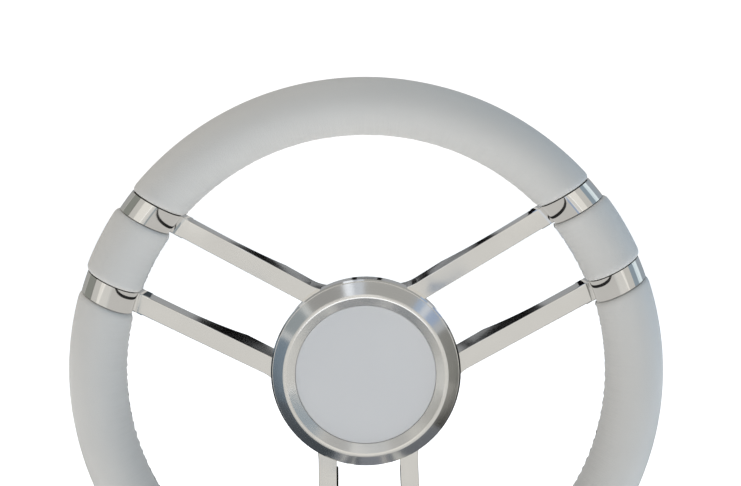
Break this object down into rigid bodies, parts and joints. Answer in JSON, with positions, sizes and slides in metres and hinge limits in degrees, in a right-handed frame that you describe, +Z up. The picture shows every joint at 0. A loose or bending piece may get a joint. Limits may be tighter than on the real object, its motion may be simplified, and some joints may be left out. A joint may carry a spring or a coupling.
{
  "type": "ship steering wheel",
  "caption": "Marine steering wheel with a leather-wrapped rim, paired polished spokes with collars, a pull-off hub cap, and its tapered helm shaft turning in a bolt-on flange.",
  "frame": {"origin": "centre of the helm flange's back face, on the shaft's axis", "axes": "+Z up, +Y along the shaft into the dash, -Y towards the helmsman"},
  "size_m": [0.35, 0.1422, 0.3507],
  "materials": {
    "polished_stainless": "mirror-polished stainless steel",
    "polished_collar": "mirror-polished stainless steel",
    "cap_stainless": "turned and polished stainless steel",
    "machined_stainless": "turned stainless steel",
    "plain_steel": "plain steel rod",
    "fastener_steel": "plain stainless fasteners",
    "grip_leather": "smooth pale grey leather with a fine grain",
    "grip_foam": "integral-skin foam",
    "disc_plastic": "smooth pale grey satin disc",
    "mounting_tape": "double-sided mounting tape",
    "black_rubber": "black nitrile rubber",
    "bush_bronze": "sintered bronze",
    "cast_aluminium": "machined and anodised cast aluminium"
  },
  "bodies": {
    "helm": {"helm_flange": "cast_aluminium", "shaft_bush": "bush_bronze", "shaft_seal": "black_rubber"},
    "wheel": {"spoke_frame": "polished_stainless", "rim_ring": "plain_steel", "leather_grip_top": "grip_leather", "foam_grip_top": "grip_foam", "leather_grip_port": "grip_leather", "foam_grip_port": "grip_foam", "leather_grip_starboard": "grip_leather", "foam_grip_starboard": "grip_foam", "leather_grip_right_short": "grip_leather", "foam_grip_right_short": "grip_foam", "leather_grip_left_short": "grip_leather", "foam_grip_left_short": "grip_foam", "leather_grip_bottom_short": "grip_leather", "foam_grip_bottom_short": "grip_foam", "collar_right_upper": "polished_collar", "collar_right_lower": "polished_collar", "collar_left_upper": "polished_collar", "collar_left_lower": "polished_collar", "collar_bottom_left": "polished_collar", "collar_bottom_right": "polished_collar", "collar_grub_screws": "fastener_steel", "hub_boss": "machined_stainless", "hub_screws": "fastener_steel", "helm_shaft": "machined_stainless", "shaft_key": "fastener_steel", "shaft_washer": "fastener_steel", "shaft_nut": "fastener_steel", "retaining_ring": "fastener_steel"},
    "cap": {"cap_ring": "cap_stainless", "cap_disc": "disc_plastic", "cap_tape": "mounting_tape", "cap_oring": "black_rubber"}
  },
  "joints": [
    {"name": "wheel_spin", "type": "hinge", "parent": "helm", "child": "wheel", "pos_m": [0, -0.09, 0], "axis": [0, 1, 0], "continuous": true},
    {"name": "cap_pull", "type": "slide", "parent": "wheel", "child": "cap", "axis": [0, -1, 0], "range_m": [0, 0.03]}
  ]
}
